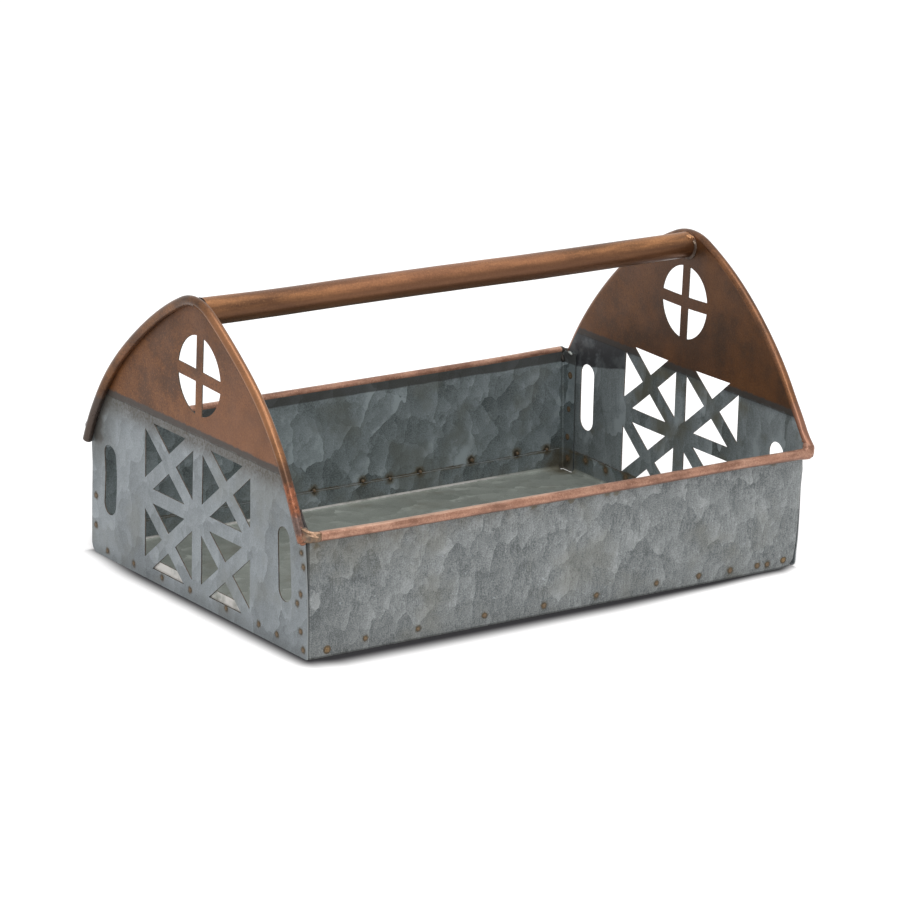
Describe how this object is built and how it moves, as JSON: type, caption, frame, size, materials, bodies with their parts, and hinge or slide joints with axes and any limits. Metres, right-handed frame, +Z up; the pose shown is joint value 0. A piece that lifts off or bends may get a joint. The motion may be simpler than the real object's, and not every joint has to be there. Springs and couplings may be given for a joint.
{
  "type": "caddy tray",
  "caption": "Open sheet-metal carrying tray with gabled end panels, barn-door and round window cut-outs, rolled copper-toned rims and a tube handle.",
  "frame": {"origin": "middle of the tray's flat underside, midway between the end panels and between the long walls", "axes": "+X along the handle from the left end panel to the right one, the front wall faces -Y, +Z up"},
  "size_m": [0.3798, 0.2688, 0.1926],
  "materials": {
    "zinc_floor": "weathered galvanized sheet, greenish grey with pale streaks",
    "zinc_wall": "weathered galvanized sheet, mottled grey with large spangles",
    "zinc_panel": "weathered galvanized sheet below, antiqued copper finish on the gable and the rolled edge",
    "copper_tube": "antiqued copper finish, satin, golden brown with lengthwise streaks",
    "copper_rim": "antiqued copper finish, satin, pinkish brown",
    "weld_metal": "rough brazed filler, brass grey and copper"
  },
  "bodies": {
    "root": {"floor_pan": "zinc_floor", "front_wall": "zinc_wall", "back_wall": "zinc_wall", "left_end_panel": "zinc_panel", "right_end_panel": "zinc_panel", "handle_tube": "copper_tube", "front_rim_wire": "copper_rim", "back_rim_wire": "copper_rim", "left_arch_wire": "copper_rim", "right_arch_wire": "copper_rim", "left_handle_weld": "weld_metal", "right_handle_weld": "weld_metal", "front_left_corner_weld": "weld_metal", "front_right_corner_weld": "weld_metal", "back_left_corner_weld": "weld_metal", "back_right_corner_weld": "weld_metal"}
  },
  "joints": []
}
